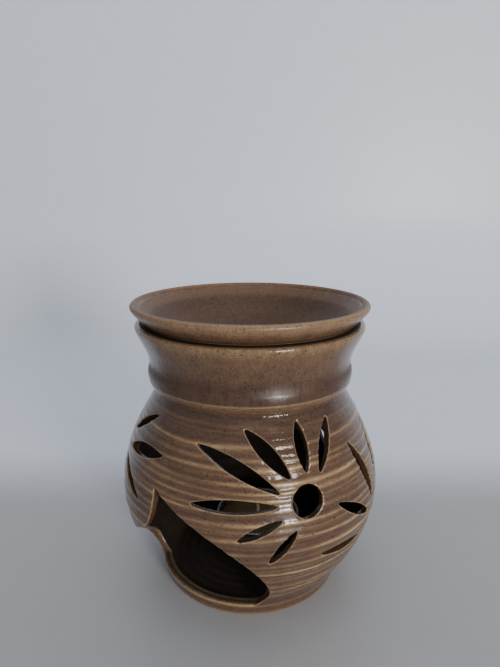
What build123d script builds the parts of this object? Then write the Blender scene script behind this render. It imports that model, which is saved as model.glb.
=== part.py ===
from build123d import *
import os
from math import cos, radians, sin, tan

os.makedirs("parts", exist_ok=True)

# Essential oil burner of thrown stoneware: a pierced pot, a loose dish in its mouth, a tealight in its chamber.
# Millimetres. Heights are above the table, radii are from the pot's axis.
# Azimuths are degrees from the front, -Y, and count to the right, towards +X.

# Pot, outside, from the foot up: each rise is counted from the line below it
# The shoulder and the ledge stand in from the belly by a share of the way to the crease
FOOT_RADIUS = 38.5
FOOT_BREAK = 0.8
HIP_FLARE = 5.3
HIP_HEIGHT = 12.0
BELLY_RADIUS = 54.9
BELLY_RISE = 33.0
SHOULDER_SHARE = 0.503
SHOULDER_RISE = 27.0
LEDGE_SHARE = 0.77
LEDGE_RISE = 7.8
CREASE_RADIUS = 38.8
CREASE_RISE = 5.4
ROLL_OUT = 3.9
ROLL_RISE = 6.6
WAIST_IN = 0.8
WAIST_RISE = 4.2
RIM_FLARE = 5.3
NECK_RISE = 16.0
RIM_ROUND = 1.6

# Pot, inside
WALL = 3.2
HIP_WALL = 3.9
CREASE_WALL = 2.6
FLOOR = 4.5
FOOT_WALL = 6.0
RIM_WIDTH = 5.9
MOUTH_BREAK = 0.5

# Handles of the pot's curves, as shares of the stretch that they bend
ROLL_SHARE = 0.18
NECK_LOW_SHARE = 0.33
NECK_HIGH_SHARE = 0.4
NECK_OUT_SHARE = 0.3
RIM_SHARE = 0.2
FLOOR_SHARE = 1.2

# Dish
LIP_OVERHANG = 1.6
LIP_RISE = 8.3
LIP_ROUND = 1.5
SEAT_WIDTH = 1.9
SEAT_CLEARANCE = 0.4
SEAT_COVER = 3.3
DISH_DEPTH = 21.8
DISH_BASE = 4.4

# Handles of the dish's curves: outward as shares of its seat's radius, upward as shares of the stretch
WELL_OUT_SHARE = 0.5
BOWL_OUT_SHARE = 0.76
BOWL_UP_SHARE = 0.35
LIP_UP_SHARE = 0.7
SIDE_OUT_SHARE = 0.88
SIDE_UP_SHARE = 0.33
BASE_OUT_SHARE = 0.54

# Doorway, cut towards the pot's axis: points of its outline, as azimuth from its middle and height above the sill
DOOR_AZIMUTH = -38.0
SILL_STEP = 1.5
DOOR_RIGHT_SIDE = (
    (-4.5, 51.0), (10.9, 44.0), (27.0, 35.6), (34.3, 30.2), (40.6, 24.0), (44.6, 17.9), (46.9, 11.5), (47.3, 6.7),
    (46.0, 2.6), (43.2, 0.6), (39.0, 0.0),
)
DOOR_LEFT_SIDE = (
    (-41.0, 0.0), (-43.8, 2.6), (-45.3, 6.0), (-44.8, 9.5), (-40.0, 13.5), (-32.0, 20.0), (-16.0, 28.0),
    (-7.7, 34.6), (-4.4, 42.5), (-4.5, 51.0),
)

# Pierced flowers: a round eye and lens-shaped petals, each cut square to the wall at its own middle
EYE_RADIUS = 6.0
HIGH_EYE = 11.9
LOW_EYE = -13.0
HIGH_FLOWERS = (23.0, 143.0)
DOOR_FLOWER = 263.0
LOW_FLOWER = 72.0
BACK_FLOWER = 192.0

# Petals: azimuth from the flower's eye, height above the belly, length, slope in degrees, width
HIGH_PETALS = (
    (1.1, 29.5, 19.6, -90.0, 4.8),
    (-15.1, 28.5, 24.9, -50.0, 5.4),
    (-28.4, 24.1, 36.2, -28.0, 5.3),
    (-29.7, 11.9, 33.0, 1.0, 4.8),
    (-19.4, 3.3, 19.0, 24.0, 3.7),
)
# Two more petals of the flowers that stand clear of the doorway
FREE_PETALS = (
    (-10.5, -4.1, 17.4, 51.0, 3.8),
    (13.5, 28.6, 22.5, -119.0, 4.6),
)
DOOR_PETALS = (
    (29.5, 29.1, 23.3, 36.0, 3.4),
    (39.0, 21.0, 28.3, 12.0, 5.2),
    (33.0, 8.0, 26.0, -24.0, 4.4),
    (15.0, 1.0, 18.0, -42.0, 4.0),
)
# The level petal of the low flower at the side
LEVEL_PETAL = (-29.5, -12.6, 27.0, -6.0, 3.8)
LOW_PETALS = (
    (-23.5, 1.2, 26.9, -31.0, 4.0),
    (-13.3, 12.7, 32.3, -68.0, 4.8),
    (3.0, 17.0, 27.0, -104.0, 4.6),
    (16.5, -4.0, 15.0, 30.0, 3.8),
    (25.0, -9.5, 27.0, 8.0, 3.6),
)

# Tealight, standing back from the doorway by a share of the room beside it, just clear of the glazed floor
CUP_RADIUS = 19.0
CUP_HEIGHT = 15.5
CUP_FOIL = 0.4
STAND_SHARE = 0.44
STAND_GAP = 0.05
WAX_GAP = 0.15
WAX_DROP = 3.6
WICK_RADIUS = 0.9
WICK_ABOVE = 6.5
TAB_RADIUS = 6.0
TAB_SHEET = 0.4
TUBE_RADIUS = 1.7
TUBE_HEIGHT = 3.2
FIT_GAP = 0.1

# Worked-out heights and radii
hip_radius = FOOT_RADIUS + HIP_FLARE
belly_height = HIP_HEIGHT + BELLY_RISE
shoulder_height = belly_height + SHOULDER_RISE
neck_step = BELLY_RADIUS - CREASE_RADIUS
ledge_height = shoulder_height + LEDGE_RISE
crease_height = ledge_height + CREASE_RISE
roll_radius = CREASE_RADIUS + ROLL_OUT
roll_height = crease_height + ROLL_RISE
waist_radius = roll_radius - WAIST_IN
waist_height = roll_height + WAIST_RISE
rim_radius = waist_radius + RIM_FLARE
rim_height = waist_height + NECK_RISE
floor_radius = FOOT_RADIUS - FOOT_WALL
mouth_radius = rim_radius - RIM_WIDTH
sill_height = FLOOR + SILL_STEP


def at(radius, height):
    return (radius, 0, height)


def turned(edges):
    """The solid turned on the axis from a closed outline."""
    return revolve(make_face(edges), axis=Axis.Z)


def sway(start, end):
    """An S-shaped stretch that leaves and arrives upright."""
    middle = (start[2] + end[2]) / 2
    return Bezier(start, at(start[0], middle), at(end[0], middle), end)


# Pot wall, turned
crease = at(CREASE_RADIUS, crease_height)
roll = at(roll_radius, roll_height)
waist = at(waist_radius, waist_height)
rim_side = at(rim_radius, rim_height - RIM_ROUND)
rim_top = at(rim_radius - RIM_ROUND, rim_height)
neck_low = at(waist_radius, waist_height + NECK_RISE * NECK_LOW_SHARE)
neck_high = at(rim_radius - RIM_FLARE * NECK_OUT_SHARE, rim_height - NECK_RISE * NECK_HIGH_SHARE)
outside = Spline(
    at(FOOT_RADIUS, FOOT_BREAK),
    at(hip_radius, HIP_HEIGHT),
    at(BELLY_RADIUS, belly_height),
    at(BELLY_RADIUS - neck_step * SHOULDER_SHARE, shoulder_height),
    at(BELLY_RADIUS - neck_step * LEDGE_SHARE, ledge_height),
    crease,
    tangents=[at(0.1, 1), at(-1, 1)],
)


def wall_at(height):
    """Radius of the outside at a height, and the outward and upward parts of its normal."""
    low = 0.0
    high = 1.0
    for _ in range(40):
        middle = (low + high) / 2
        if outside.position_at(middle).Z < height:
            low = middle
        else:
            high = middle
    along = outside.tangent_at(low)
    return outside.position_at(low).X, along.Z, -along.X


def inside_at(height, wall):
    """The point of the inside behind the outside at a height."""
    radius, out, up = wall_at(height)
    return at(radius - wall * out, height - wall * up)


neck_inside = at(waist_radius - WALL, waist_height)
mouth_top = at(mouth_radius + MOUTH_BREAK, rim_height)
mouth_side = at(mouth_radius, rim_height - MOUTH_BREAK)
floor_edge = at(floor_radius, FLOOR)
floor_bend = at(hip_radius - FOOT_WALL * FLOOR_SHARE, FLOOR)
hip_inside = inside_at(HIP_HEIGHT, HIP_WALL)
inside = Spline(
    neck_inside,
    at(CREASE_RADIUS - CREASE_WALL, crease_height),
    inside_at(shoulder_height, WALL),
    inside_at((shoulder_height + belly_height) / 2, WALL),
    inside_at(belly_height, WALL),
    inside_at((belly_height + HIP_HEIGHT) / 2, WALL),
    hip_inside,
    tangents=[at(0, -1), at(floor_bend[0] - hip_inside[0], floor_bend[2] - hip_inside[2])],
    tangent_scalars=[1, 1],
)
pot = turned([
    Line(at(0, FLOOR), at(0, 0)),
    Line(at(0, 0), at(FOOT_RADIUS - FOOT_BREAK, 0)),
    Line(at(FOOT_RADIUS - FOOT_BREAK, 0), at(FOOT_RADIUS, FOOT_BREAK)),
    outside,
    Bezier(crease, at(roll_radius, crease_height + ROLL_RISE * ROLL_SHARE), roll),
    sway(roll, waist),
    Bezier(waist, neck_low, neck_high, rim_side),
    Bezier(rim_side, at(rim_radius + RIM_ROUND * RIM_SHARE, rim_height), rim_top),
    Line(rim_top, mouth_top),
    Line(mouth_top, mouth_side),
    sway(mouth_side, neck_inside),
    inside,
    Bezier(hip_inside, floor_bend, floor_edge),
    Line(floor_edge, at(0, FLOOR)),
])


def facing(azimuth):
    """Level directions at an azimuth: along the wall to the right, and outward."""
    turn = radians(azimuth)
    return (cos(turn), sin(turn), 0), (sin(turn), -cos(turn), 0)


def on_wall(azimuth, height):
    """The plane that touches the outside at an azimuth and a height, its Y up the wall."""
    radius, out, up = wall_at(height)
    right, outward = facing(azimuth)
    origin = (radius * outward[0], radius * outward[1], height)
    return Plane(origin, x_dir=right, z_dir=(out * outward[0], out * outward[1], up))


def through_wall(azimuth, above_belly, face):
    """A face set on the wall and carried through it both ways, past the wall's own curve."""
    return extrude(on_wall(azimuth, belly_height + above_belly) * face, 4 * WALL, both=True)


def petal_cut(eye, petal):
    """One lens-shaped petal of the flower whose eye is at an azimuth."""
    shift, above_belly, length, slope, width = petal
    half = length / 2
    lens = make_face([
        ThreePointArc((-half, 0), (0, width / 2), (half, 0)),
        ThreePointArc((half, 0), (0, -width / 2), (-half, 0)),
    ])
    return through_wall(eye + shift, above_belly, Rot(0, 0, slope) * lens)


def flower_cuts(azimuth, above_belly, petals):
    """The eye and the petals of one flower."""
    eye = through_wall(azimuth, above_belly, Circle(EYE_RADIUS))
    return [eye] + [petal_cut(azimuth, petal) for petal in petals]


def door_section(distance):
    """The doorway's outline where level rays from the pot's axis meet an upright plane at a distance."""
    right, outward = facing(DOOR_AZIMUTH)
    plane = Plane((0, 0, sill_height), x_dir=right, z_dir=outward).offset(distance)
    right_side = [(distance * tan(radians(turn)), height) for turn, height in DOOR_RIGHT_SIDE]
    left_side = [(distance * tan(radians(turn)), height) for turn, height in DOOR_LEFT_SIDE]
    return plane * make_face([
        Spline(*right_side),
        Line(right_side[-1], left_side[0]),
        Spline(*left_side),
    ])


# Doorway
cuts = [loft([door_section(floor_radius / 2), door_section(BELLY_RADIUS + WALL)], ruled=True)]

# Flowers
for azimuth in HIGH_FLOWERS:
    cuts += flower_cuts(azimuth, HIGH_EYE, HIGH_PETALS + FREE_PETALS)
cuts += flower_cuts(DOOR_FLOWER, HIGH_EYE, HIGH_PETALS + DOOR_PETALS)
cuts += flower_cuts(LOW_FLOWER, LOW_EYE, LOW_PETALS + (LEVEL_PETAL,))
cuts += flower_cuts(BACK_FLOWER, LOW_EYE, LOW_PETALS)
for cut in cuts:
    pot = pot - cut
export_step(pot, "parts/pot_body.step")

# Dish, its flat seat resting on the flat of the rim
lip_radius = rim_radius + LIP_OVERHANG
lip_height = rim_height + LIP_RISE
spigot = mouth_radius - SEAT_CLEARANCE
seat_outer = at(spigot + SEAT_WIDTH, rim_height)
seat_inner = at(spigot, rim_height)
throat = at(spigot, rim_height + SEAT_COVER)
well = lip_height - DISH_DEPTH
under = well - DISH_BASE
lip_side = at(lip_radius, lip_height - LIP_ROUND)
lip_inner = at(lip_radius - 2 * LIP_ROUND, lip_height - LIP_ROUND)
bowl_bend = at(spigot * BOWL_OUT_SHARE, well + (throat[2] - well) * BOWL_UP_SHARE)
side_bend = at(spigot * SIDE_OUT_SHARE, under + (rim_height - under) * SIDE_UP_SHARE)
dish = turned([
    Line(at(0, under), at(0, well)),
    Bezier(at(0, well), at(spigot * WELL_OUT_SHARE, well), bowl_bend, throat),
    Line(throat, lip_inner),
    ThreePointArc(lip_inner, at(lip_radius - LIP_ROUND, lip_height), lip_side),
    Bezier(lip_side, at(lip_radius, rim_height + LIP_RISE * LIP_UP_SHARE), seat_outer),
    Line(seat_outer, seat_inner),
    Bezier(seat_inner, side_bend, at(spigot * BASE_OUT_SHARE, under), at(0, under)),
])
export_step(dish, "parts/oil_dish.step")

# Tealight: foil cup, wick tab on its floor, wick in the tab's tube, wax around both
upright = (Align.CENTER, Align.CENTER, Align.MIN)


def disc(radius, height, base):
    return Pos(0, 0, base) * Cylinder(radius, height, align=upright)


tealight_back = (floor_radius - CUP_RADIUS) * STAND_SHARE
door_out = facing(DOOR_AZIMUTH)[1]
stand = Pos(-tealight_back * door_out[0], -tealight_back * door_out[1], FLOOR + STAND_GAP)
tab_top = CUP_FOIL + TAB_SHEET
wax_top = CUP_HEIGHT - WAX_DROP
wick_room = WICK_RADIUS + FIT_GAP
cup = disc(CUP_RADIUS, CUP_HEIGHT, 0) - disc(CUP_RADIUS - CUP_FOIL, CUP_HEIGHT, CUP_FOIL)
tab = disc(TAB_RADIUS, TAB_SHEET, CUP_FOIL) + disc(TUBE_RADIUS, TUBE_HEIGHT, tab_top)
tab = tab - disc(wick_room, TUBE_HEIGHT, tab_top)
wick = disc(WICK_RADIUS, wax_top + WICK_ABOVE - tab_top, tab_top)
wax = disc(CUP_RADIUS - CUP_FOIL - WAX_GAP, wax_top - CUP_FOIL, CUP_FOIL)
wax = wax - disc(TAB_RADIUS + FIT_GAP, TAB_SHEET, CUP_FOIL)
wax = wax - disc(TUBE_RADIUS + FIT_GAP, TUBE_HEIGHT, tab_top)
wax = wax - disc(wick_room, wax_top, tab_top)
export_step(stand * cup, "parts/tealight_cup.step")
export_step(stand * wax, "parts/tealight_wax.step")
export_step(stand * tab, "parts/wick_tab.step")
export_step(stand * wick, "parts/wick.step")
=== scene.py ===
import math

import bmesh
import bpy
import numpy as np
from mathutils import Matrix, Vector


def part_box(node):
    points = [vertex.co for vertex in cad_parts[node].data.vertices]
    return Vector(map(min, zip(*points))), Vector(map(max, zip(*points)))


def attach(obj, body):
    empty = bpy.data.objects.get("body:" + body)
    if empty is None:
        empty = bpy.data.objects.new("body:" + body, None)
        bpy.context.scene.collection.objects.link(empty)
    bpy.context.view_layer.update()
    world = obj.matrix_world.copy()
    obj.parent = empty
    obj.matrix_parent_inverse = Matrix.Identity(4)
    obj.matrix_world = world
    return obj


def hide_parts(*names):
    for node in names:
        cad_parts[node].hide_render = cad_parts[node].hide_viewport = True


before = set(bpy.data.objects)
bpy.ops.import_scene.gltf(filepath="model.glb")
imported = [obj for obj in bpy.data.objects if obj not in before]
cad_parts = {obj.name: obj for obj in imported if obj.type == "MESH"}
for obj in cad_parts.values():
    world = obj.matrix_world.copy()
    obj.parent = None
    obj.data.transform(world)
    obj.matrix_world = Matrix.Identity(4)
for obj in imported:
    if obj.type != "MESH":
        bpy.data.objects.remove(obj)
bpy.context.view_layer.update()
scene = bpy.context.scene

# Lengths in the shape code are millimetres and become metres where a mesh is made.
MM = 0.001


# Camera, at the photograph's place: in front, a little above the dish, looking down

SENSOR_WIDTH = 36.0
LENS = 28.07
CLIP_START = 0.01
CAMERA_PLACE = (0.0, -0.2115, 0.15825)
LOOK_DOWN = math.radians(13.97)

camera = bpy.data.objects.new("camera", bpy.data.cameras.new("camera"))
camera.data.sensor_width = SENSOR_WIDTH
camera.data.lens = LENS
camera.data.clip_start = CLIP_START
camera.location = CAMERA_PLACE
camera.rotation_euler = (math.pi / 2 - LOOK_DOWN, 0.0, 0.0)
scene.collection.objects.link(camera)
scene.camera = camera


# Fields over a mesh: one number per point

def ramp(value, start, end):
    """0 before start, 1 after end, eased between; start may lie above end."""
    share = np.clip((value - start) / (end - start), 0.0, 1.0)
    return share * share * (3 - 2 * share)


def bell(value, middle, width):
    return np.exp(-((value - middle) / width) ** 2)


def laid(under, over, share):
    """One field with another laid over it by a share."""
    return under * (1 - share) + over * share


# Meshes

WELD_REACH = 0.002
SOFTEN_ROUNDS = 4
SOFTEN_SHARE = 0.5


def read_points(mesh):
    points = np.empty(len(mesh.vertices) * 3)
    mesh.vertices.foreach_get("co", points)
    return points.reshape(-1, 3) / MM


def write_points(mesh, points):
    mesh.vertices.foreach_set("co", (points * MM).ravel())
    mesh.update()


def read_normals(mesh):
    normals = np.empty(len(mesh.vertices) * 3)
    mesh.vertex_normals.foreach_get("vector", normals)
    return normals.reshape(-1, 3)


def read_edges(mesh):
    edges = np.empty(len(mesh.edges) * 2, dtype=np.int32)
    mesh.edges.foreach_get("vertices", edges)
    return edges.reshape(-1, 2)


def paint(mesh, name, values):
    """Keeps one number per vertex on the mesh for the material to read."""
    layer = mesh.attributes.new(name, "FLOAT", "POINT")
    layer.data.foreach_set("value", np.ascontiguousarray(values, dtype=np.float32))


def smooth_shade(mesh):
    mesh.polygons.foreach_set("use_smooth", [True] * len(mesh.polygons))


def drop_crumbs(mesh):
    """Keeps the one large shell; the tips of narrow cuts can leave loose crumbs."""
    one, two = read_edges(mesh).T
    shell = np.arange(len(mesh.vertices))
    while True:
        least = np.minimum(shell[one], shell[two])
        lower = shell.copy()
        np.minimum.at(lower, shell[one], least)
        np.minimum.at(lower, shell[two], least)
        lower = lower[lower]
        if np.array_equal(lower, shell):
            break
        shell = lower
    loose = np.flatnonzero(shell != np.bincount(shell).argmax())
    if len(loose):
        work = bmesh.new()
        work.from_mesh(mesh)
        work.verts.ensure_lookup_table()
        bmesh.ops.delete(work, geom=[work.verts[place] for place in loose], context="VERTS")
        work.to_mesh(mesh)
        work.free()


def even_skin(node, voxel):
    """A CAD node's skin as a new mesh of small even quads."""
    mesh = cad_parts[node].data.copy()
    work = bmesh.new()
    work.from_mesh(mesh)
    bmesh.ops.remove_doubles(work, verts=work.verts, dist=WELD_REACH * MM)
    work.to_mesh(mesh)
    work.free()
    carrier = bpy.data.objects.new("carrier", mesh)
    scene.collection.objects.link(carrier)
    remesh = carrier.modifiers.new("even", "REMESH")
    remesh.mode = "VOXEL"
    remesh.voxel_size = voxel * MM
    evaluated = carrier.evaluated_get(bpy.context.evaluated_depsgraph_get())
    skin = bpy.data.meshes.new_from_object(evaluated)
    bpy.data.objects.remove(carrier)
    bpy.data.meshes.remove(mesh)
    skin.materials.clear()
    drop_crumbs(skin)
    return skin


def softened(points, edges):
    """Points of a mesh, each drawn towards the mean of its neighbours a few times over."""
    one, two = edges.T
    size = len(points)
    count = np.bincount(edges.ravel(), minlength=size)[:, None]
    for _ in range(SOFTEN_ROUNDS):
        total = [
            np.bincount(one, column[two], size) + np.bincount(two, column[one], size)
            for column in points.T
        ]
        points = points + SOFTEN_SHARE * (np.stack(total, 1) / count - points)
    return points


def soft_skin(node, voxel):
    """A CAD node's even skin with softened edges, and its points and normals."""
    mesh = even_skin(node, voxel)
    points = softened(read_points(mesh), read_edges(mesh))
    write_points(mesh, points)
    smooth_shade(mesh)
    return mesh, points, read_normals(mesh)


def add_piece(name, mesh, body, slot, *nodes):
    """A piece that stands for CAD nodes and rides on their body."""
    piece = bpy.data.objects.new(name, mesh)
    scene.collection.objects.link(piece)
    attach(piece, body)
    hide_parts(*nodes)
    return piece


# Throwing rings: crest height, strength and half width, read off the wall from the neck down

POT_RINGS = (
    (86.2, 0.45, 0.6), (83.6, 0.12, 0.6), (81.2, 0.35, 0.6), (78.4, 0.22, 0.5), (75.5, 0.85, 0.75),
    (73.4, 0.30, 0.5), (71.3, 0.75, 0.7), (68.5, 0.90, 0.8), (66.6, 0.40, 0.5), (64.3, 1.00, 0.8),
    (61.3, 0.90, 0.75), (59.0, 0.85, 0.7), (56.6, 0.55, 0.6), (54.6, 0.80, 0.75), (50.9, 0.95, 0.8),
    (48.3, 0.70, 0.7), (44.5, 0.90, 0.85), (41.6, 0.25, 0.6), (39.0, 1.00, 0.9), (36.3, 0.50, 0.6),
    (33.0, 0.80, 0.8), (30.9, 0.45, 0.5), (28.9, 0.95, 0.8), (26.6, 0.50, 0.5), (24.8, 1.00, 0.75),
    (22.4, 0.55, 0.5), (20.6, 0.80, 0.6), (18.2, 0.85, 0.6), (16.2, 0.55, 0.5), (14.2, 0.75, 0.5),
    (11.8, 0.80, 0.6), (9.6, 0.50, 0.5),
)
POT_RING_SEED = 11

# Swathes of thinner glaze: each lies a little below its ring and is wider
SWATHE_DROP = 0.8
SWATHE_SPREAD = 2.6
SWATHES = tuple((crest - SWATHE_DROP, strength, SWATHE_SPREAD * width) for crest, strength, width in POT_RINGS)

CHAMBER_RING_COUNT = 15
CHAMBER_RING_START = 8.0
CHAMBER_RING_PITCH = 5.4
CHAMBER_RING_STRENGTH = 0.9
CHAMBER_RING_WIDTH = 1.5
CHAMBER_RINGS = tuple(
    (CHAMBER_RING_START + CHAMBER_RING_PITCH * step, CHAMBER_RING_STRENGTH, CHAMBER_RING_WIDTH)
    for step in range(CHAMBER_RING_COUNT)
)
CHAMBER_RING_SEED = 23

COMB_COUNT = 46
COMB_RANGE = (8.0, 80.0)
COMB_SCATTER = 0.6
COMB_STRENGTH = (0.1, 0.45)
COMB_WIDTH = (0.22, 0.4)
COMB_PLACE_SEED = 5
COMB_SEED = 37

# How a ring wavers on its way round: waves in one turn and their size
RING_REACH = 4.5
RING_TILT = 0.6
RING_WANDER = ((2, 0.35), (5, 0.175))
RING_FADE_MEAN = 0.82
RING_FADE = ((3, 0.22), (7, 0.12))
RING_SWELL = ((4, 0.25),)


def waves(angle, parts, draw):
    """Waves round a wall, each from a drawn start."""
    return sum(size * np.sin(count * angle + draw.uniform(0, 2 * math.pi)) for count, size in parts)


def ring_field(angle, height, rings, seed):
    """Crests 1 and hollows 0 of the rings round a wall; each ring wanders and fades a little on its way."""
    draw = np.random.default_rng(seed)
    field = np.zeros_like(height)
    for crest, strength, width in rings:
        near = np.abs(height - crest) < RING_REACH
        where = angle[near]
        middle = crest - RING_TILT * np.sin(where) + waves(where, RING_WANDER, draw)
        fade = RING_FADE_MEAN + waves(where, RING_FADE, draw)
        swell = 1 + waves(where, RING_SWELL, draw)
        field[near] = np.maximum(field[near], strength * fade * bell(height[near], middle, width * swell))
    return field


def comb_lines():
    """Fine scratches of the throwing fingers between the rings."""
    draw = np.random.default_rng(COMB_PLACE_SEED)
    heights = np.linspace(*COMB_RANGE, COMB_COUNT) + draw.uniform(-COMB_SCATTER, COMB_SCATTER, COMB_COUNT)
    return [(height, draw.uniform(*COMB_STRENGTH), draw.uniform(*COMB_WIDTH)) for height in heights]


# Pot: the pierced wall with softened cuts, rings outside and in, and a spiral on the floor

POT_VOXEL = 0.38
PROFILE_STEP = 0.5
PROFILE_WEIGHTS = (1, 2, 3, 2, 1)
RING_DEPTH = 0.36
COMB_SHARE = 0.5
CHAMBER_RING_DEPTH = 0.3
SPIRAL_DEPTH = 0.2
SPIRAL_PITCH = 4.2
FLOOR_HEIGHT = 4.5
FLOOR_BLUR = 0.6
SILL_HEIGHT = 6.0
SILL_MIDDLE = math.radians(-38.0)
SILL_HALF = math.radians(42.0)
SILL_EASE = 0.05

# Where the pot's zones begin and where they are whole: heights and radii
BODY_LOW = (5.0, 9.0)
BODY_HIGH = (85.4, 83.2)
FOOT_HIGH = (9.0, 5.0)
BAND_LOW = (84.6, 85.4)
BAND_HIGH = (90.0, 89.0)
NECK_LOW = (89.2, 90.2)
CHAMBER_LOW = (8.0, 14.0)
CHAMBER_HIGH = (92.0, 82.0)
SPIRAL_RADIUS = (33.0, 30.0)
FLOOR_RADIUS = (36.0, 34.0)
FLOOR_LOW = (2.0, 3.5)
# Where the rim's top, under the dish's lip, takes painted shadow: radius and height
RIM_SHADOW_RADIUS = (45.7, 44.9)
RIM_SHADOW_LOW = (111.2, 111.8)
SILL_HIGH = (8.0, 7.0)
CUT_HIGH = (84.0, 82.0)
CUT_LOW = (2.5, 4.0)
EDGE_LOW = (1.8, 3.2)
INNER_EDGE_HIGH = (20.0, 14.0)
INNER_EDGE_LOW = (4.8, 5.6)
BARE_HIGH = (0.35, 0.1)

# The same by depth below the outside
OUTSIDE_DEPTH = (1.8, 0.6)
CHAMBER_DEPTH = (1.9, 2.8)
WITHIN_DEPTH = (1.2, 2.4)
SILL_DEPTH = (1.2, 2.2)
SILL_LINE_DEPTH = (2.4, 1.4)
EDGE_DEPTH = (1.6, 0.5)
INNER_EDGE_DEPTH = (2.2, 2.9)

# The same by facing: 1 faces out of the wall, 0 lies across it, -1 faces the axis
WITHIN_FACING = (-0.3, -0.8)
EDGE_START = (0.97, 0.86)
EDGE_END = (0.20, 0.55)
INNER_EDGE_START = (0.45, 0.1)
INNER_EDGE_END = (-0.80, -0.45)
CUT_START = (0.55, 0.2)
CUT_END = (-0.85, -0.4)

# And by how far a point faces up
FLOOR_UP = (0.5, 0.9)
UNDER_UP = (-0.5, -0.8)

# Tone of the pot's glaze: 0 where it pools dark, 1 where it runs thin and breaks tan
POOL_TONE = 0.06
SWATHE_TONE = 0.24
CREST_TONE = 0.76
COMB_TONE = 0.85
BAND_TONE = 0.50
LINE_TONE = 0.80
SILL_TONE = 0.85
INSIDE_TONE = 0.10
INSIDE_RING_TONE = 0.22
SPIRAL_TONE = 0.12
NECK_TONE = 0.10
FOOT_TONE = 0.26
EDGE_SHARE = 0.8
# The doorway's inner edge takes a painted highlight, by this share
INNER_HIGHLIGHT_SHARE = 0.35
# The sill's top is darkened as painted shade, by this share
SILL_SHADE_SHARE = 0.85
ROLL_MATT = 0.65

# Lines round the pot, by middle and half width
BAND_LINE = (89.4, 0.55)
SILL_LINE = (SILL_HEIGHT - 0.7, 1.1)
ROLL_LINE = (94.7, 2.4)

# The neck pales upwards: from, to and by how much; the foot has two pale lines: tone, middle and half width
NECK_STEPS = ((95.5, 100.0, 0.24), (100.0, 107.0, 0.12), (106.5, 110.5, 0.22))
FOOT_LINES = ((0.55, 0.7, 0.9), (0.30, 5.2, 0.9))


def outer_profile(radius, height):
    """Radius of the outside by height, read from the skin itself and evened."""
    bins = np.clip((height / PROFILE_STEP).astype(int), 0, None)
    outer = np.zeros(bins.max() + 1)
    np.maximum.at(outer, bins, radius)
    padded = np.pad(outer, len(PROFILE_WEIGHTS) // 2, mode="edge")
    outer = np.convolve(padded, PROFILE_WEIGHTS, mode="valid") / sum(PROFILE_WEIGHTS)
    return (np.arange(len(outer)) + 0.5) * PROFILE_STEP, outer


class Wall:
    """Where the points of the pot's skin lie on its wall, and the rings and zones there."""

    def __init__(self, points, normals):
        self.radius = np.hypot(points[:, 0], points[:, 1])
        self.height = points[:, 2]
        self.angle = np.arctan2(points[:, 0], -points[:, 1])
        heights, radii = outer_profile(self.radius, self.height)
        slope = np.interp(self.height, heights, np.gradient(radii, heights))
        lean = 1 / np.sqrt(1 + slope ** 2)
        self.outward = np.stack([np.sin(self.angle) * lean, -np.cos(self.angle) * lean, -slope * lean], 1)
        self.depth = (np.interp(self.height, heights, radii) - self.radius) * lean
        self.facing = np.clip((normals * self.outward).sum(1), -1, 1)
        self.up = normals[:, 2]
        self.find_rings()
        self.find_zones()

    def find_rings(self):
        self.crest = ring_field(self.angle, self.height, POT_RINGS, POT_RING_SEED)
        self.comb = ring_field(self.angle, self.height, comb_lines(), COMB_SEED)
        self.swathe = ring_field(self.angle, self.height, SWATHES, POT_RING_SEED)
        self.chamber_crest = ring_field(self.angle, self.height, CHAMBER_RINGS, CHAMBER_RING_SEED)
        self.spiral_crest = 0.5 + 0.5 * np.sin(2 * math.pi * self.radius / SPIRAL_PITCH + self.angle)

    def find_zones(self):
        self.body = ramp(self.height, *BODY_HIGH) * ramp(self.height, *BODY_LOW)
        self.neck = ramp(self.height, *NECK_LOW)
        self.sill = ramp(np.abs(self.angle - SILL_MIDDLE), SILL_HALF + SILL_EASE, SILL_HALF - SILL_EASE)
        self.spiral = bell(self.height, FLOOR_HEIGHT, FLOOR_BLUR)
        self.spiral = self.spiral * ramp(self.radius, *SPIRAL_RADIUS) * ramp(self.up, *FLOOR_UP)
        # Chamber's dark inside glaze, partly painted shade; painted shadow on the rim's top under the lip, and
        # on the sill.
        self.inside_and_painted_shade = np.max([
            ramp(self.facing, *WITHIN_FACING) * ramp(self.depth, *WITHIN_DEPTH),
            ramp(self.radius, *FLOOR_RADIUS) * ramp(self.height, *FLOOR_LOW),
            ramp(self.radius, *RIM_SHADOW_RADIUS) * ramp(self.height, *RIM_SHADOW_LOW),
            SILL_SHADE_SHARE * self.sill * ramp(self.depth, *SILL_DEPTH) * ramp(self.height, *SILL_HIGH),
        ], 0)


def pot_relief(points, wall):
    """Rings pressed into the outside, softer ones in the chamber and a spiral in the floor."""
    outside = wall.body * ramp(wall.depth, *OUTSIDE_DEPTH)
    chamber = ramp(wall.depth, *CHAMBER_DEPTH)
    chamber = chamber * ramp(wall.height, *CHAMBER_HIGH) * ramp(wall.height, *CHAMBER_LOW)
    groove = RING_DEPTH * (1 - np.maximum(wall.crest, COMB_SHARE * wall.comb)) * outside
    groove = groove + CHAMBER_RING_DEPTH * wall.chamber_crest * chamber
    moved = points - groove[:, None] * wall.outward
    moved[:, 2] -= SPIRAL_DEPTH * (1 - wall.spiral_crest) * wall.spiral
    moved[:, 2] = np.maximum(moved[:, 2], 0.0)
    return moved


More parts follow.
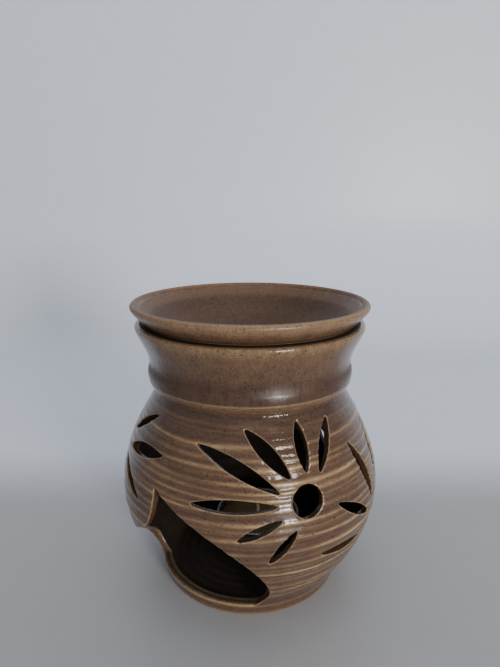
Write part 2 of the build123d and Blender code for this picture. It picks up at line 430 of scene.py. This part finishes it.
def pot_tone(wall):
    height = wall.height
    body = POOL_TONE + SWATHE_TONE * wall.swathe + CREST_TONE * np.maximum(wall.crest, COMB_TONE * wall.comb)
    band = ramp(height, *BAND_LOW) * ramp(height, *BAND_HIGH)
    tone = np.maximum(body * wall.body, BAND_TONE * band)
    neck = NECK_TONE + sum(more * ramp(height, start, end) for start, end, more in NECK_STEPS)
    tone = laid(tone, neck, wall.neck)
    foot = FOOT_TONE + sum(more * bell(height, middle, width) for more, middle, width in FOOT_LINES)
    tone = laid(tone, np.maximum(tone, foot), ramp(height, *FOOT_HIGH))
    tone = np.maximum(tone, LINE_TONE * bell(height, *BAND_LINE))
    sill_line = wall.sill * bell(height, *SILL_LINE) * ramp(wall.depth, *SILL_LINE_DEPTH)
    tone = np.maximum(tone, SILL_TONE * sill_line)
    inside = INSIDE_TONE + INSIDE_RING_TONE * wall.chamber_crest + SPIRAL_TONE * wall.spiral * wall.spiral_crest
    return np.clip(laid(tone, inside, wall.inside_and_painted_shade), 0, 1)


def pot_edges(wall):
    """Edges of the cuts: the outer ones, where the glaze runs thin, and the inner ones low in the doorway, a
    painted highlight.
    """
    outer = ramp(wall.facing, *EDGE_START) * ramp(wall.facing, *EDGE_END) * ramp(wall.depth, *EDGE_DEPTH)
    outer = outer * ramp(wall.height, *CUT_HIGH) * ramp(wall.height, *EDGE_LOW)
    inner = ramp(wall.facing, *INNER_EDGE_START) * ramp(wall.facing, *INNER_EDGE_END)
    inner = inner * ramp(wall.depth, *INNER_EDGE_DEPTH)
    inner = inner * ramp(wall.height, *INNER_EDGE_HIGH) * ramp(wall.height, *INNER_EDGE_LOW)
    return np.maximum(EDGE_SHARE * outer, INNER_HIGHLIGHT_SHARE * inner)


def pot_cuts(wall):
    """Faces of the cuts through the wall, without the floor and the sill."""
    cut = ramp(wall.facing, *CUT_START) * ramp(wall.facing, *CUT_END)
    cut = cut * ramp(wall.height, *CUT_HIGH) * ramp(wall.height, *CUT_LOW)
    cut = cut * (1 - np.maximum(wall.spiral, wall.inside_and_painted_shade * ramp(wall.radius, *FLOOR_RADIUS)))
    return cut * (1 - wall.sill * ramp(wall.height, *SILL_HIGH))


def make_pot():
    mesh, points, normals = soft_skin("pot_body", POT_VOXEL)
    wall = Wall(points, normals)
    write_points(mesh, pot_relief(points, wall))
    paint(mesh, "tone", pot_tone(wall))
    paint(mesh, "thin_glaze_and_highlight", pot_edges(wall))
    paint(mesh, "cut_face", pot_cuts(wall))
    paint(mesh, "inside_and_painted_shade", wall.inside_and_painted_shade)
    paint(mesh, "matt", np.maximum(wall.inside_and_painted_shade, ROLL_MATT * bell(wall.height, *ROLL_LINE) * wall.neck))
    paint(mesh, "neck", wall.neck * (1 - wall.inside_and_painted_shade))
    paint(mesh, "bare", ramp(wall.height, *BARE_HIGH) * ramp(wall.up, *UNDER_UP))
    return add_piece("thrown_pot", mesh, "pot", "pot_glaze", "pot_body")


# Dish: the same clay and glaze, a rolled lip and a smooth bowl

DISH_VOXEL = 0.42

# Where the dish's zones begin and where they are whole: by height, by radius and by how far they face up
BOWL_RADIUS = (45.8, 44.8)
BOWL_UP = (0.15, 0.4)
BOWL_SIDE = (114.6, 116.4)
LIP_LOW = (112.5, 114.0)
LIP_RADIUS = (41.0, 44.0)
LIP_UP = (0.55, 0.2)
LIP_RISE = (114.0, 117.5)
CREST_RADIUS = (44.2, 45.2)
RIM_RADIUS = (47.2, 47.8)
BELOW_HIGH = (112.2, 111.4)
BELOW_UP = (0.1, -0.1)
# Where the lip's lower face, in the gap above the pot's rim, takes painted shadow
GAP_SHADOW_HIGH = (113.5, 112.5)
GAP_SHADOW_RADIUS = (42.0, 42.6)
SEAT_RADIUS = (40.0, 41.2)

# Lines round the dish, by middle and half width
BOWL_WELL = (112.8, 2.2)
LIP_CREST = (119.8, 1.0)
RIM_LINE = (119.9, 0.4)
SEAT_LINE = (112.0, 0.4)

# Tones of the dish's glaze, and how dark and how dull its bowl and lip are
DISH_TONE = 0.42
BOWL_SHADE = 0.14
LIP_TONE = 0.46
LIP_RISE_TONE = 0.30
LIP_CREST_TONE = 0.66
BELOW_TONE = 0.12
RIM_SHARE = 0.5
BOWL_DARK = 0.1
BOWL_MATT = 0.7
LIP_MATT = 0.4
CREST_MATT = 0.8


def make_dish():
    mesh, points, normals = soft_skin("oil_dish", DISH_VOXEL)
    radius = np.hypot(points[:, 0], points[:, 1])
    height = points[:, 2]
    up = normals[:, 2]

    bowl = ramp(up, *BOWL_UP) * ramp(radius, *BOWL_RADIUS)
    lip = ramp(height, *LIP_LOW) * ramp(up, *LIP_UP) * ramp(radius, *LIP_RADIUS)
    crest = bell(height, *LIP_CREST) * ramp(radius, *CREST_RADIUS)
    below = ramp(height, *BELOW_HIGH) * ramp(up, *BELOW_UP)
    # Painted shadow on the lip's lower face, in the gap above the pot's rim
    groove = ramp(height, *GAP_SHADOW_HIGH) * ramp(radius, *GAP_SHADOW_RADIUS)
    seat = bell(height, *SEAT_LINE) * ramp(up, *UNDER_UP) * ramp(radius, *SEAT_RADIUS)

    tone = DISH_TONE + BOWL_SHADE * (ramp(height, *BOWL_SIDE) - bell(height, *BOWL_WELL)) * bowl
    tone = laid(tone, LIP_TONE + LIP_RISE_TONE * ramp(height, *LIP_RISE), lip)
    tone = np.maximum(tone, LIP_CREST_TONE * crest)
    tone = laid(tone, BELOW_TONE, below)
    paint(mesh, "tone", np.clip(tone, 0, 1))
    paint(mesh, "thin_glaze_and_highlight", RIM_SHARE * bell(height, *RIM_LINE) * ramp(radius, *RIM_RADIUS))
    paint(mesh, "cut_face", np.zeros(len(points)))
    # Painted shadow in the gap, and a little inside colour in the bowl
    paint(mesh, "inside_and_painted_shade", np.maximum(BOWL_DARK * bowl, groove))
    paint(mesh, "matt", np.max([BOWL_MATT * bowl, LIP_MATT * lip, CREST_MATT * crest, groove], 0))
    paint(mesh, "neck", np.ones(len(points)))
    paint(mesh, "bare", seat)
    return add_piece("thrown_dish", mesh, "dish", "dish_glaze", "oil_dish")


# Tealight: chains of radius and height, counted from the middle of the cup's base

cup_low, cup_high = (np.array(corner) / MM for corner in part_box("tealight_cup"))
cup_base = np.array([(cup_low[0] + cup_high[0]) / 2, (cup_low[1] + cup_high[1]) / 2, cup_low[2]])
SEAM_REACH = 0.0001


def arc(middle_radius, middle_height, size, start, end, count):
    """Points on a round stretch of a chain, its angles in degrees from outward to up."""
    turns = np.radians(np.linspace(start, end, count))
    return [(middle_radius + size * math.cos(turn), middle_height + size * math.sin(turn)) for turn in turns]


def turned_mesh(name, chain, steps, closed=False, swell=None):
    """A chain turned about the cup's axis; swell gives the radius that an angle, a radius and a height add."""
    radius, height = np.array(chain).T
    angle = np.linspace(0, 2 * math.pi, steps, endpoint=False)[:, None]
    radius = np.broadcast_to(radius, (steps, len(chain))).copy()
    height = np.broadcast_to(height, (steps, len(chain)))
    if swell:
        radius = radius + swell(angle, radius, height)
    points = np.stack([radius * np.cos(angle), radius * np.sin(angle), height], 2) + cup_base
    count = len(chain)
    faces = []
    for step in range(steps):
        here = step * count
        there = (step + 1) % steps * count
        for link in range(count if closed else count - 1):
            upper = (link + 1) % count
            faces.append((here + link, there + link, there + upper, here + upper))
    mesh = bpy.data.meshes.new(name)
    mesh.from_pydata((points.reshape(-1, 3) * MM).tolist(), [], faces)
    work = bmesh.new()
    work.from_mesh(mesh)
    bmesh.ops.remove_doubles(work, verts=work.verts, dist=SEAM_REACH * MM)
    bmesh.ops.recalc_face_normals(work, faces=work.faces)
    work.to_mesh(mesh)
    work.free()
    smooth_shade(mesh)
    return mesh


FOIL = 0.2
CUP_STEPS = 480
CUP_FLAT = 16.8
CUP_CORNER = 1.2
CUP_CORNER_TURN = -75
CUP_CORNER_STEPS = 6
CUP_SIDE = 18.05
CUP_DRAFT = 0.03
CUP_SIDE_RISE = (2.0, 13.6)
CUP_SIDE_STEPS = 14
CUP_RIM_RADIUS = 18.48
CUP_RIM_HEIGHT = 14.98
CUP_RIM_SIZE = 0.52
CUP_RIM_TURN = (-70, 180)
CUP_RIM_STEPS = 14
FLUTE_COUNT = 60
FLUTE_DEPTH = 0.2
FLUTE_RADIUS = (16.9, 17.9)
FLUTE_LOW = (0.7, 2.2)
FLUTE_HIGH = (14.4, 13.2)

# The cup's base is pressed up in the middle: radius and lift, from the outside in
PRESSED_STEP = ((13.6, 0.0), (12.8, 0.02), (12.2, 0.12), (11.4, 0.18), (0.0, 0.18))


def make_cup():
    """A pressed foil cup: base panel, fluted side and rolled rim."""
    def flutes(angle, radius, height):
        side = ramp(radius, *FLUTE_RADIUS) * ramp(height, *FLUTE_LOW) * ramp(height, *FLUTE_HIGH)
        return FLUTE_DEPTH * np.cos(FLUTE_COUNT * angle) * side

    rises = np.linspace(*CUP_SIDE_RISE, CUP_SIDE_STEPS)
    chain = list(reversed(PRESSED_STEP)) + [(CUP_FLAT, 0.0)]
    chain += arc(CUP_FLAT, CUP_CORNER, CUP_CORNER, CUP_CORNER_TURN, 0, CUP_CORNER_STEPS)
    chain += [(CUP_SIDE + CUP_DRAFT * rise, rise) for rise in rises]
    chain += arc(CUP_RIM_RADIUS, CUP_RIM_HEIGHT, CUP_RIM_SIZE, *CUP_RIM_TURN, CUP_RIM_STEPS)
    chain += [(CUP_SIDE - FOIL + CUP_DRAFT * rise, rise) for rise in reversed(rises)]
    chain += arc(CUP_FLAT, CUP_CORNER, CUP_CORNER - FOIL, 0, CUP_CORNER_TURN, CUP_CORNER_STEPS)
    chain += [(radius, lift + FOIL) for radius, lift in PRESSED_STEP]
    mesh = turned_mesh("foil_cup", chain, CUP_STEPS, swell=flutes)
    return add_piece("foil_cup", mesh, "tealight", "foil", "tealight_cup")


WAX_STEPS = 192
WAX_BASE = 0.45
TAB_SPACE = 6.15
TAB_COVER = 0.85


def make_wax():
    """Poured wax that has sunk a little in the middle and creeps up the wick and the foil."""
    chain = [(TAB_SPACE, WAX_BASE), (17.0, WAX_BASE)]
    side = [(17.35, 0.9), (17.6, 6.0), (17.82, 11.3)]
    foil_creep = [(17.84, 11.7), (17.7, 11.82), (17.4, 11.66), (16.8, 11.46), (15.6, 11.32)]
    sunk_top = [(12.0, 11.22), (6.0, 11.16), (3.2, 11.18)]
    wick_creep = [(2.0, 11.28), (1.4, 11.46), (1.1, 11.7), (0.96, 11.86), (0.92, 11.6)]
    wick_space = [(0.92, 4.1), (1.8, 4.05), (1.8, TAB_COVER), (TAB_SPACE, TAB_COVER)]
    chain += side + foil_creep + sunk_top + wick_creep + wick_space
    mesh = turned_mesh("poured_wax", chain, WAX_STEPS, closed=True)
    return add_piece("poured_wax", mesh, "tealight", "wax", "tealight_wax")


TAB_STEPS = 96
TAB_RADIUS = 5.8
TAB_MIDDLE = 0.6
TAB_HALF = 0.18
TAB_EDGE_STEPS = 7
TUBE_BORE = 1.06
CRIMP_COUNT = 4
CRIMP_DEPTH = 0.1
CRIMP_LOW = (1.3, 1.8)
CRIMP_HIGH = (3.7, 3.2)


def make_tab():
    """The wick's steel foot: a pressed disc with a crimped tube."""
    def crimp(angle, radius, height):
        return -CRIMP_DEPTH * np.cos(CRIMP_COUNT * angle) * ramp(height, *CRIMP_LOW) * ramp(height, *CRIMP_HIGH)

    chain = [(0.0, TAB_MIDDLE - TAB_HALF), (5.5, TAB_MIDDLE - TAB_HALF)]
    chain += arc(TAB_RADIUS, TAB_MIDDLE, TAB_HALF, -90, 90, TAB_EDGE_STEPS)
    chain += [(2.3, TAB_MIDDLE + TAB_HALF), (1.85, 0.86), (1.66, 1.1)]
    tube = [(1.58, 1.6), (1.56, 2.5), (1.58, 3.4)]
    mouth = [(1.64, 3.85), (1.52, 3.97), (1.2, 3.97), (1.08, 3.8)]
    bore = [(TUBE_BORE, height) for height in (3.4, 2.5, 1.6, 0.82)] + [(0.0, 0.8)]
    chain += tube + mouth + bore
    mesh = turned_mesh("crimped_tab", chain, TAB_STEPS, swell=crimp)
    return add_piece("crimped_tab", mesh, "tealight", "tab_steel", "wick_tab")


WICK_FOOT = 0.85
WICK_TOP = 18.3
WICK_STEPS = 120
WICK_STRANDS = 3
STRAND_RADIUS = 0.37
STRAND_OFFSET = 0.43
STRAND_PITCH = 7.0
STRAND_SIDES = 12
TIP_LENGTH = 1.2
TIP_TAPER = 0.45
LUMP_SIZE = 0.06
LUMPS_ROUND = 3
LUMPS_ALONG = 9


def strand_points(strand, rises):
    """Rings of points up one strand on its way round the wick."""
    points = []
    for rise in rises:
        turn = 2 * math.pi * (strand / WICK_STRANDS + rise / STRAND_PITCH)
        taper = 1 - TIP_TAPER * float(ramp(rise, WICK_TOP - TIP_LENGTH, WICK_TOP))
        middle_x = STRAND_OFFSET * taper * math.cos(turn)
        middle_y = STRAND_OFFSET * taper * math.sin(turn)
        for side in range(STRAND_SIDES):
            way = 2 * math.pi * side / STRAND_SIDES
            reach = STRAND_RADIUS * taper * (1 + LUMP_SIZE * math.cos(LUMPS_ROUND * way + LUMPS_ALONG * rise))
            points.append((middle_x + reach * math.cos(way), middle_y + reach * math.sin(way), rise))
    return points


def strand_faces(start):
    """Skin of one strand whose points begin at start, with a face on each end."""
    faces = []
    for ring in range(WICK_STEPS - 1):
        for side in range(STRAND_SIDES):
            one = start + ring * STRAND_SIDES + side
            two = start + ring * STRAND_SIDES + (side + 1) % STRAND_SIDES
            faces.append((one, two, two + STRAND_SIDES, one + STRAND_SIDES))
    top = start + (WICK_STEPS - 1) * STRAND_SIDES
    faces.append(tuple(start + side for side in reversed(range(STRAND_SIDES))))
    faces.append(tuple(top + side for side in range(STRAND_SIDES)))
    return faces


def make_wick():
    """Three cotton strands laid round each other, each drawn in at its tip."""
    rises = np.linspace(WICK_FOOT, WICK_TOP, WICK_STEPS)
    points = []
    faces = []
    for strand in range(WICK_STRANDS):
        faces += strand_faces(len(points))
        points += strand_points(strand, rises)
    mesh = bpy.data.meshes.new("cotton_wick")
    mesh.from_pydata(((np.array(points) + cup_base) * MM).tolist(), [], faces)
    smooth_shade(mesh)
    return add_piece("cotton_wick", mesh, "tealight", "wick_cotton", "wick")


# Materials

def linear(red, green, blue):
    """A colour given in 0..255 display values, as the shader takes it."""
    def one(value):
        share = value / 255
        return share / 12.92 if share <= 0.04045 else ((share + 0.055) / 1.055) ** 2.4
    return (one(red), one(green), one(blue), 1.0)


class Maker:
    """Short calls for building one material's nodes."""

    def __init__(self, name):
        self.material = bpy.data.materials.new(name)
        self.material.use_nodes = True
        self.tree = self.material.node_tree
        self.tree.nodes.clear()
        self.shader = self.tree.nodes.new("ShaderNodeBsdfPrincipled")
        output = self.tree.nodes.new("ShaderNodeOutputMaterial")
        self.tree.links.new(self.shader.outputs["BSDF"], output.inputs["Surface"])

    def put(self, socket, value):
        if isinstance(value, bpy.types.NodeSocket):
            self.tree.links.new(value, socket)
        else:
            socket.default_value = value

    def finish(self, **values):
        for name, value in values.items():
            self.put(self.shader.inputs[name.replace("_", " ")], value)
        return self.material

    def attribute(self, name):
        made = self.tree.nodes.new("ShaderNodeAttribute")
        made.attribute_name = name
        return made.outputs["Fac"]

    def place(self, x=1.0, y=1.0, z=1.0):
        """Object coordinates in millimetres, stretched by axis."""
        coordinates = self.tree.nodes.new("ShaderNodeTexCoord")
        mapping = self.tree.nodes.new("ShaderNodeMapping")
        mapping.inputs["Scale"].default_value = (x / MM, y / MM, z / MM)
        self.tree.links.new(coordinates.outputs["Object"], mapping.inputs["Vector"])
        return mapping.outputs["Vector"]

    def noise(self, place, scale=1.0, detail=2.0, rough=0.5):
        made = self.tree.nodes.new("ShaderNodeTexNoise")
        self.put(made.inputs["Vector"], place)
        made.inputs["Scale"].default_value = scale
        made.inputs["Detail"].default_value = detail
        made.inputs["Roughness"].default_value = rough
        return made.outputs["Fac"]

    def cells(self, place, scale):
        """Distance from the middle of a scattered cell, and two numbers drawn for the cell."""
        made = self.tree.nodes.new("ShaderNodeTexVoronoi")
        self.put(made.inputs["Vector"], place)
        made.inputs["Scale"].default_value = scale
        split = self.tree.nodes.new("ShaderNodeSeparateColor")
        self.put(split.inputs["Color"], made.outputs["Color"])
        return made.outputs["Distance"], split.outputs["Red"], split.outputs["Green"]

    def math(self, kind, one, two=0.0, three=0.0, clamp=False):
        made = self.tree.nodes.new("ShaderNodeMath")
        made.operation = kind
        made.use_clamp = clamp
        self.put(made.inputs[0], one)
        self.put(made.inputs[1], two)
        self.put(made.inputs[2], three)
        return made.outputs[0]

    def times(self, one, two):
        return self.math("MULTIPLY", one, two)

    def plus(self, value, more, share=1.0, clamp=False):
        """A value and a share of another one."""
        return self.math("MULTIPLY_ADD", more, share, value, clamp)

    def sway(self, value, field, share, clamp=False):
        """A value moved up and down by a field that lies about one half."""
        return self.plus(value, self.math("SUBTRACT", field, 0.5), share, clamp)

    def rescale(self, value, low, high, start=0.0, end=1.0):
        made = self.tree.nodes.new("ShaderNodeMapRange")
        made.interpolation_type = "SMOOTHSTEP"
        self.put(made.inputs["Value"], value)
        made.inputs["From Min"].default_value = low
        made.inputs["From Max"].default_value = high
        made.inputs["To Min"].default_value = start
        made.inputs["To Max"].default_value = end
        return made.outputs["Result"]

    def mix(self, share, one, two):
        made = self.tree.nodes.new("ShaderNodeMix")
        made.data_type = "RGBA"
        self.put(made.inputs["Factor"], share)
        self.put(made.inputs[6], one)
        self.put(made.inputs[7], two)
        return made.outputs[2]

    def gradient(self, value, *stops):
        made = self.tree.nodes.new("ShaderNodeValToRGB")
        elements = made.color_ramp.elements
        for _ in range(len(stops) - 2):
            elements.new(0.5)
        for element, (position, colour) in zip(elements, stops):
            element.position = position
            element.color = colour
        self.put(made.inputs["Fac"], value)
        return made.outputs["Color"]

    def bump(self, height, strength, distance):
        made = self.tree.nodes.new("ShaderNodeBump")
        made.inputs["Strength"].default_value = strength
        made.inputs["Distance"].default_value = distance * MM
        self.put(made.inputs["Height"], height)
        return made.outputs["Normal"]


# Glaze: its colours from pooled dark to broken tan, and how much streaks, mottling and grain move the tone

GLAZE_POOL = linear(70, 52, 43)
GLAZE_BODY = linear(94, 70, 54)
POT_WARM = linear(114, 89, 67)
POT_THIN = linear(146, 120, 87)
DISH_WARM = linear(114, 87, 67)
DISH_THIN = linear(146, 117, 90)
GLAZE_BREAK = linear(170, 145, 108)
GLAZE_CUT = linear(84, 62, 46)
# Dark inside glaze, also laid as painted shade in the chamber, on the sill and under the dish's lip
INSIDE_AND_SHADE_COLOUR = linear(46, 39, 34)
IRON_SPECK = linear(30, 18, 12)
BARE_CLAY = linear(176, 146, 112)
GLAZE_STOPS = (0.0, 0.28, 0.55, 0.85, 1.0)
STREAK_SHARE = 0.55
MOTTLE_SHARE = 0.34
GRAIN_SHARE = 0.16
INSIDE_AND_SHADE_SHARE = 0.92
MOTTLE_RANGE = (0.3, 0.7)
GLAZE_ROUGH = (0.07, 0.16)
BARE_ROUGH = 0.7
MATT_ROUGH = 0.45
GLAZE_IOR = 1.5
GLAZE_SHINE = 0.5
MATT_SHINE = 0.2
GRAIN_RELIEF = 0.6
NECK_RELIEF = 0.3

# Iron specks, large and small: cells in a millimetre, reach, and the share of cells without one
SPECK_SCALES = (0.62, 1.15)
SPECK_REACHES = (0.24, 0.30)
POT_CLEAR = (0.80, 0.72)
DISH_CLEAR = (0.70, 0.56)
SPECK_EASE = (0.06, -0.04)
SPECK_CHANCE_EASE = 0.02
SPECK_SHARE = 0.85
NECK_CLEARER = -0.09
FLECK_RANGE = (0.60, 0.68)
FLECK_SHARE = 0.6


def iron_specks(make, place, colour, neck, clear_shares):
    """Dark specks over a colour: some cells of a scatter carry one, fewer of them on the neck."""
    for scale, size, clear in zip(SPECK_SCALES, SPECK_REACHES, clear_shares):
        distance, lot, growth = make.cells(place, scale)
        chosen = make.rescale(make.plus(lot, neck, NECK_CLEARER), clear, clear + SPECK_CHANCE_EASE)
        spot = make.rescale(make.math("SUBTRACT", distance, make.times(growth, size)), *SPECK_EASE)
        speck = make.times(make.times(chosen, spot), SPECK_SHARE)
        colour = make.mix(speck, colour, IRON_SPECK)
    fleck = make.rescale(make.noise(place, scale=1.4), *FLECK_RANGE, end=FLECK_SHARE)
    return make.mix(fleck, colour, IRON_SPECK)


def glaze(name, warm, thin, clear_shares):
    make = Maker(name)
    place = make.place()
    neck = make.attribute("neck")
    bare = make.attribute("bare")
    matt = make.attribute("matt")
    mottle = make.noise(place, scale=0.16, detail=4.0, rough=0.6)
    grain = make.noise(place, scale=1.3, detail=3.0, rough=0.6)
    swirl = make.noise(make.place(x=0.16, y=0.16, z=1.15), detail=3.0, rough=0.6)
    runs = make.noise(make.place(x=0.9, y=0.9, z=0.06), detail=3.0, rough=0.6)

    streak = make.plus(make.times(runs, neck), swirl, make.math("SUBTRACT", 1.0, neck))
    shade = make.sway(make.attribute("tone"), streak, STREAK_SHARE)
    shade = make.sway(shade, mottle, MOTTLE_SHARE)
    shade = make.sway(shade, grain, GRAIN_SHARE, clamp=True)
    colour = make.gradient(shade, *zip(GLAZE_STOPS, (GLAZE_POOL, GLAZE_BODY, warm, thin, GLAZE_BREAK)))
    colour = make.mix(make.attribute("cut_face"), colour, GLAZE_CUT)
    # Inside glaze, and painted shade in the chamber, on the sill and under the dish's lip
    colour = make.mix(make.times(make.attribute("inside_and_painted_shade"), INSIDE_AND_SHADE_SHARE), colour, INSIDE_AND_SHADE_COLOUR)
    broken = make.rescale(grain, low=0.25, high=0.6, start=0.55)
    # Tan where the glaze runs thin on cut edges, and a painted highlight along the doorway's inner edge
    colour = make.mix(make.times(make.attribute("thin_glaze_and_highlight"), broken), colour, GLAZE_BREAK)
    colour = iron_specks(make, place, colour, neck, clear_shares)
    colour = make.mix(bare, colour, BARE_CLAY)

    rough = make.rescale(mottle, *MOTTLE_RANGE, *GLAZE_ROUGH)
    rough = make.plus(rough, bare, BARE_ROUGH)
    rough = make.plus(rough, matt, MATT_ROUGH)
    relief = make.plus(make.noise(place, scale=0.5), grain, GRAIN_RELIEF)
    relief = make.times(relief, make.rescale(neck, low=0.0, high=1.0, start=1.0, end=NECK_RELIEF))
    return make.finish(
        Base_Color=colour,
        Roughness=rough,
        Normal=make.bump(relief, strength=0.5, distance=0.25),
        IOR=GLAZE_IOR,
        Specular_IOR_Level=make.rescale(matt, low=0.0, high=1.0, start=GLAZE_SHINE, end=MATT_SHINE),
    )


# Materials of the tealight: two colours that a noise mixes, and the roughness between its two ends

NOISE_RANGE = (0.3, 0.7)
FOIL_COLOURS = (linear(176, 178, 182), linear(206, 207, 209))
FOIL_ROUGH = (0.24, 0.40)
# Wax darkened as painted shade of the dark chamber it stands in
SHADED_WAX_COLOURS = (linear(136, 104, 62), linear(150, 117, 74))
WAX_ROUGH = (0.32, 0.52)
WAX_IOR = 1.44
STEEL_COLOURS = (linear(120, 121, 124), linear(168, 168, 170))
STEEL_ROUGH = (0.30, 0.48)
COTTON_COLOURS = (linear(190, 180, 156), linear(232, 226, 208))
COTTON_ROUGH = (0.6, 0.8)


def foil():
    make = Maker("pressed_foil")
    grain = make.noise(make.place(x=0.9, y=0.9, z=0.14), detail=3.0)
    dent = make.noise(make.place(), scale=0.22)
    return make.finish(
        Base_Color=make.mix(grain, *FOIL_COLOURS),
        Metallic=1.0,
        Roughness=make.rescale(grain, *NOISE_RANGE, *FOIL_ROUGH),
        Normal=make.bump(make.plus(dent, grain, share=0.25), strength=0.3, distance=0.3),
    )


def paraffin():
    make = Maker("paraffin_painted_shade")
    place = make.place()
    cloud = make.noise(place, scale=0.18, detail=4.0, rough=0.6)
    frost = make.noise(place, scale=1.6, detail=3.0, rough=0.6)
    # Darkened wax: painted shade of the chamber
    return make.finish(
        Base_Color=make.mix(cloud, *SHADED_WAX_COLOURS),
        Roughness=make.rescale(frost, *NOISE_RANGE, *WAX_ROUGH),
        Normal=make.bump(make.plus(cloud, frost, share=0.3), strength=0.2, distance=0.3),
        IOR=WAX_IOR,
    )


def tab_steel():
    make = Maker("tinned_steel")
    bloom = make.noise(make.place(), scale=0.9, detail=4.0, rough=0.6)
    return make.finish(
        Base_Color=make.mix(bloom, *STEEL_COLOURS),
        Metallic=1.0,
        Roughness=make.rescale(bloom, *NOISE_RANGE, *STEEL_ROUGH),
        Normal=make.bump(bloom, strength=0.2, distance=0.1),
    )


def waxed_cotton():
    make = Maker("waxed_cotton")
    fibre = make.noise(make.place(x=5.2, y=5.2, z=0.9), detail=3.0, rough=0.6)
    return make.finish(
        Base_Color=make.mix(fibre, *COTTON_COLOURS),
        Roughness=make.rescale(fibre, *NOISE_RANGE, *COTTON_ROUGH),
        Normal=make.bump(fibre, strength=0.5, distance=0.08),
    )


# Stage and light, in metres

SWEEP_FRONT = -1.4
SWEEP_BEND = 0.32
SWEEP_TURN = 0.16
SWEEP_TURN_START = 0.1
SWEEP_TURN_STEPS = 12
SWEEP_TOP = 1.6
SWEEP_HALF = 1.5
SWEEP_ROUGH = 0.4
TABLE_COLOURS = (linear(174, 175, 178), linear(179, 180, 183))
WALL_COLOURS = (linear(232, 239, 250), linear(236, 243, 254))
TABLE_BACK = 0.035
WALL_FRONT = 0.110
AIM_HEIGHT = 0.06
ROOM_COLOUR = (0.83, 0.83, 0.85, 1.0)
ROOM_STRENGTH = 0.42


def pale_board():
    """A plain board, darker where the object stands and paler behind it."""
    make = Maker("pale_board")
    tint = make.noise(make.place(x=0.06, y=0.06, z=0.06))
    split = make.tree.nodes.new("ShaderNodeSeparateXYZ")
    make.put(split.inputs["Vector"], make.place())
    behind = make.rescale(split.outputs["Y"], TABLE_BACK / MM, WALL_FRONT / MM)
    colour = make.mix(behind, make.mix(tint, *TABLE_COLOURS), make.mix(tint, *WALL_COLOURS))
    return make.finish(Base_Color=colour, Roughness=SWEEP_ROUGH)


def make_stage():
    """A plain pale floor that turns up behind the object."""
    path = [(SWEEP_FRONT, 0.0), (SWEEP_BEND, 0.0)]
    path += [
        (SWEEP_BEND + SWEEP_TURN * math.sin(turn), SWEEP_TURN - SWEEP_TURN * math.cos(turn))
        for turn in np.linspace(SWEEP_TURN_START, math.pi / 2, SWEEP_TURN_STEPS)
    ]
    path += [(SWEEP_BEND + SWEEP_TURN, SWEEP_TOP)]
    verts = [(x, y, z) for y, z in path for x in (-SWEEP_HALF, SWEEP_HALF)]
    faces = [(2 * link, 2 * link + 1, 2 * link + 3, 2 * link + 2) for link in range(len(path) - 1)]
    mesh = bpy.data.meshes.new("sweep")
    mesh.from_pydata(verts, [], faces)
    smooth_shade(mesh)
    mesh.materials.append(pale_board())
    sweep = bpy.data.objects.new("sweep", mesh)
    scene.collection.objects.link(sweep)


def add_light(name, azimuth, elevation, distance, width, height, power, colour):
    """An area light that looks at the middle of the object."""
    turn, rise = math.radians(azimuth), math.radians(elevation)
    aim = np.array([math.sin(turn) * math.cos(rise), -math.cos(turn) * math.cos(rise), math.sin(rise)])
    data = bpy.data.lights.new(name, "AREA")
    data.shape = "RECTANGLE"
    data.size = width
    data.size_y = height
    data.energy = power
    data.color = colour
    light = bpy.data.objects.new(name, data)
    light.location = aim * distance + np.array([0.0, 0.0, AIM_HEIGHT])
    light.rotation_euler = (math.pi / 2 - rise, 0.0, turn)
    scene.collection.objects.link(light)


def make_light():
    add_light(
        "window", azimuth=30.0, elevation=9.0, distance=1.5, width=0.35, height=0.38,
        power=17.0, colour=(1.0, 0.98, 0.95),
    )
    add_light(
        "ceiling", azimuth=20.0, elevation=75.0, distance=1.5, width=1.6, height=1.6,
        power=5.0, colour=(0.95, 0.97, 1.0),
    )
    world = bpy.data.worlds.new("room")
    scene.world = world
    world.use_nodes = True
    background = world.node_tree.nodes["Background"]
    background.inputs["Color"].default_value = ROOM_COLOUR
    background.inputs["Strength"].default_value = ROOM_STRENGTH


make_pot().data.materials.append(glaze("pot_glaze_brown", POT_WARM, POT_THIN, POT_CLEAR))
make_dish().data.materials.append(glaze("dish_glaze_brown", DISH_WARM, DISH_THIN, DISH_CLEAR))
make_cup().data.materials.append(foil())
make_wax().data.materials.append(paraffin())
make_tab().data.materials.append(tab_steel())
make_wick().data.materials.append(waxed_cotton())
make_stage()
make_light()
